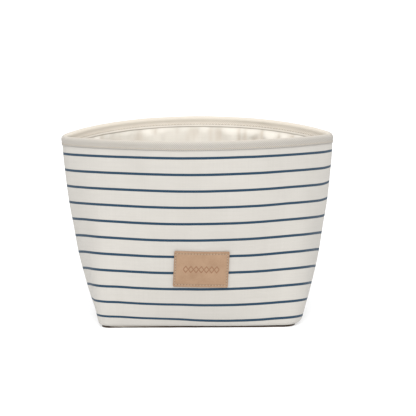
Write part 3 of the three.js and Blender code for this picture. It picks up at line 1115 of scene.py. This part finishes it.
# %% [markdown]
# ## The leather patch
# A patch of vegetable-tanned leather is sewn on low down on the front. It is a fine grid, so that what
# has been pressed into it is real shape: the groove that the stitches lie in, the needle holes, and a
# plain band of lozenges. Where the leather is pressed, holed or near its edge is kept as numbers on its
# points, and the finish darkens it there; the dark in the needle holes is painted shade.

# %% Patch
LABEL_WIDTH = 50 * MM
LABEL_HEIGHT = 34.5 * MM
LABEL_CORNER = 1.0 * MM
LABEL_THICK = 1.4 * MM
LABEL_MIDDLE = 59.2 * MM
LABEL_SHIFT = 0.4 * MM
LABEL_TILT = math.radians(-1.5)
LABEL_GRID = 0.36 * MM
LABEL_STITCH = 2.84 * MM
LABEL_INSET = 2.2 * MM  # from its long edges to the stitching
END_INSET = 1.4 * MM
LABEL_GAP = 0.1 * MM  # from the canvas to its back
CORNER_CURL = 0.5 * MM  # how much its upper corners stand off
GROOVE = 0.18 * MM
GROOVE_WIDTH = 0.55 * MM
HOLE = 0.45 * MM
HOLE_WIDTH = 0.5 * MM
MARKS = 7
MARK_PITCH = 4.7 * MM
MARK_RISE = 3.0 * MM
MARK_LINE = 0.7 * MM
MARK_DEPTH = 0.28 * MM
BACK_CLEAR = 0.25 * MM  # how much thinner the patch is made, to stay off the canvas
ROUNDING = 0.3 * MM
LEATHER = (0.362, 0.232, 0.142, 1)
LEATHER_MOTTLE = (0.268, 0.158, 0.088, 1)


def round_corners(x, z):
    """Draws the points near a square corner onto its rounded one."""
    corner_x, corner_z = LABEL_WIDTH / 2 - LABEL_CORNER, LABEL_HEIGHT / 2 - LABEL_CORNER
    over_x, over_z = np.abs(x) - corner_x, np.abs(z) - corner_z
    in_corner = (over_x > 0) & (over_z > 0)
    far = np.where(in_corner, np.hypot(over_x, over_z), 1)
    shrink = np.where(in_corner, np.maximum(over_x, over_z) / far, 1)
    x = np.where(in_corner, np.sign(x) * (corner_x + over_x * shrink), x)
    z = np.where(in_corner, np.sign(z) * (corner_z + over_z * shrink), z)
    return x, z


def label_point(x, z, lift):
    """A point from the patch's middle, lifted off its back by lift."""
    turned_x = x * math.cos(LABEL_TILT) - z * math.sin(LABEL_TILT) + LABEL_SHIFT
    turned_z = x * math.sin(LABEL_TILT) + z * math.cos(LABEL_TILT)
    height = LABEL_MIDDLE + turned_z
    length = BASE_LENGTH + (RIM_LENGTH - BASE_LENGTH) * (1 - (1 - height / WALL_TOP) ** FLARE_POWER)
    around = 0.5 + turned_x / length
    edge = np.clip(np.abs(x) / (LABEL_WIDTH / 2), 0, 1) ** 4 * np.clip(z / (LABEL_HEIGHT / 2), 0, 1) ** 3
    return wall(around, cloth_at(around, height), LABEL_GAP + lift + CORNER_CURL * edge)


def stitch_distance(x, z):
    """How far a point is from the rectangle of stitching."""
    half_x, half_z = LABEL_WIDTH / 2 - END_INSET, LABEL_HEIGHT / 2 - LABEL_INSET
    outside = np.hypot(np.maximum(np.abs(x) - half_x, 0), np.maximum(np.abs(z) - half_z, 0))
    within = np.minimum(np.maximum(np.abs(x) - half_x, np.abs(z) - half_z), 0)
    return np.abs(outside + within), half_x, half_z


def soft_step(distance, soft):
    """1 where the distance is below zero, 0 where it is above, with a soft edge."""
    return 1 / (1 + np.exp(np.clip(distance / soft, -40, 40)))


def pressed(x, z):
    """Where the leather is pressed, from 0 to 1: the stitch groove and holes, and the mark."""
    distance, half_x, half_z = stitch_distance(x, z)
    along_x = np.abs(np.abs(z) - half_z) < np.abs(np.abs(x) - half_x)
    count_x = round(2 * half_x / LABEL_STITCH)
    count_z = round(2 * half_z / LABEL_STITCH)
    beat_x = (x + half_x) / (2 * half_x / count_x)
    beat_z = (z + half_z) / (2 * half_z / count_z)
    beat = np.where(along_x, beat_x, beat_z)
    off_hole = np.abs(beat - np.round(beat)) * LABEL_STITCH
    hole = bump(np.hypot(distance, off_hole), 0, HOLE_WIDTH)
    groove = bump(distance, 0, GROOVE_WIDTH)
    in_row = np.abs(x) < (MARKS / 2) * MARK_PITCH
    from_mark = np.abs((x / MARK_PITCH + 0.5 * (MARKS % 2)) % 1 - 0.5) * MARK_PITCH
    outline = np.abs(from_mark / (MARK_PITCH / 2) + np.abs(z) / MARK_RISE - 1) * MARK_RISE * 0.6
    mark = np.where(in_row, soft_step(outline - MARK_LINE / 2, 0.1 * MM), 0.0)
    return groove, hole, mark


def leather_finish():
    material, u, v, space, shader = new_finish("label_leather", roughness=0.62, specular=0.35)
    grain = u.node("ShaderNodeTexVoronoi", {"feature": "DISTANCE_TO_EDGE"}, {"Vector": space, "Scale": 900})
    creases = inside(grain, 0.10, 0.10)
    mottle = cloudy(space, 70, 5.0, 0.6)
    fine = cloudy(space, 900, 3.0, 0.6)
    color = blend(mottle * 2.2 - 0.7, LEATHER, LEATHER_MOTTLE)
    for part, shade in (
        (fine * 0.35, (0.385, 0.265, 0.175, 1)),
        (creases * 0.25, (0.24, 0.14, 0.085, 1)),
        (u.noted("mark") * 0.9, (0.205, 0.092, 0.044, 1)),
        (u.noted("edge") * 0.4, (0.25, 0.15, 0.09, 1)),
        # The needle holes are painted dark, as painted shade.
        (u.noted("hole") * 0.45, (0.08, 0.045, 0.027, 1)),
    ):
        color = blend(part, color, shade)
    finish_with(shader, color, fine * 0.5 - creases * 0.5, distance=0.08 * MM, strength=0.7)
    return material


def label_grid(share, up):
    return round_corners((share - 0.5) * LABEL_WIDTH, (up - 0.5) * LABEL_HEIGHT)


def place_label(share, up):
    x, z = label_grid(share, up)
    groove, hole, mark = pressed(x, z)
    return label_point(x, z, LABEL_THICK - GROOVE * groove - HOLE * hole - MARK_DEPTH * mark)


patch = lay_cloth(
    "leather_patch",
    round(LABEL_WIDTH / LABEL_GRID),
    round(LABEL_HEIGHT / LABEL_GRID),
    place_label,
    lambda share, up: np.column_stack(label_grid(share, up)),
)
flat = flat_places(patch.data)
groove, hole, mark = pressed(flat[:, 0], flat[:, 1])
to_edge = np.minimum(LABEL_WIDTH / 2 - np.abs(flat[:, 0]), LABEL_HEIGHT / 2 - np.abs(flat[:, 1]))
note(patch.data, "mark", mark)
note(patch.data, "hole", hole)
note(patch.data, "edge", np.exp(-to_edge / (0.5 * MM)))
thicken(patch, LABEL_THICK - BACK_CLEAR)
rounding = patch.modifiers.new("rounding", "BEVEL")
rounding.width = ROUNDING
rounding.segments = 2
rounding.limit_method = "ANGLE"
rounding.angle_limit = math.radians(50)
dress(patch, leather_finish(), "leather_label")
print("patch:", LABEL_WIDTH / MM, "x", LABEL_HEIGHT / MM, "mm,", len(patch.data.polygons), "squares")

# %% Patch stitches
LABEL_YARN = 0.7 * MM


def label_side(x_from, z_from, x_to, z_to):
    """The stitching along one side of the patch, in its groove."""

    def place(share, lift):
        x = x_from + (x_to - x_from) * share
        z = z_from + (z_to - z_from) * share
        return label_point(x, z, LABEL_THICK - GROOVE + lift)

    return on_wall(place)


label_thread = thread_finish("label_thread", (0.43, 0.33, 0.24, 1), (0.30, 0.215, 0.15, 1))
half_x = LABEL_WIDTH / 2 - END_INSET
half_z = LABEL_HEIGHT / 2 - LABEL_INSET
corners = [(-half_x, -half_z), (half_x, -half_z), (half_x, half_z), (-half_x, half_z)]
sides = []
for start, end in zip(corners, corners[1:] + corners[:1]):
    name = f"label_side_{len(sides)}"
    sides.append(sew(name, label_side(*start, *end), LABEL_STITCH, thick=LABEL_YARN, sink=0.3 * MM))
bm = bmesh.new()
for side in sides:
    bm.from_mesh(side.data)
    bpy.data.objects.remove(side)
label_stitches = keep("label_stitches", bm)
dress(label_stitches, label_thread, "label_thread")

# %% [markdown]
# ## Floor and light
# The bin stands on a white sheet in a white studio. The world lights it evenly from all round, and a
# large soft sun from high behind the camera gives the little shape that the cloth shows. The sheet glows
# a little itself, as if lit by lamps of its own, so that it stays white and its shadows stay pale.

# %% Floor and light
FLOOR_SIZE = 16.0
bm = bmesh.new()
bmesh.ops.create_grid(bm, x_segments=1, y_segments=1, size=FLOOR_SIZE / 2)
floor = keep("studio_floor", bm)
paper = bpy.data.materials.new("white_paper")
paper.use_nodes = True
lit_paper = {
    "Base Color": (0.515, 0.518, 0.523, 1),
    "Roughness": 0.9,
    "Specular IOR Level": 0.1,
    "Emission Color": (1, 1, 1, 1),
    "Emission Strength": 0.5,
}
for name, value in lit_paper.items():
    paper.node_tree.nodes["Principled BSDF"].inputs[name].default_value = value
floor.data.materials.append(paper)

world = bpy.data.worlds.new("studio")
bpy.context.scene.world = world
world.use_nodes = True
sky = world.node_tree.nodes["Background"]
sky.inputs["Color"].default_value = (1.0, 1.0, 1.0, 1)
sky.inputs["Strength"].default_value = 0.76

sun = bpy.data.objects.new("soft_sun", bpy.data.lights.new("soft_sun", "SUN"))
sun.data.energy = 3.0
sun.data.angle = math.radians(50)
sun.rotation_euler = (math.radians(40), math.radians(-4), 0)
bpy.context.scene.collection.objects.link(sun)
bpy.context.scene.view_settings.view_transform = "Standard"
print("studio: world", sky.inputs["Strength"].default_value, "sun", sun.data.energy)
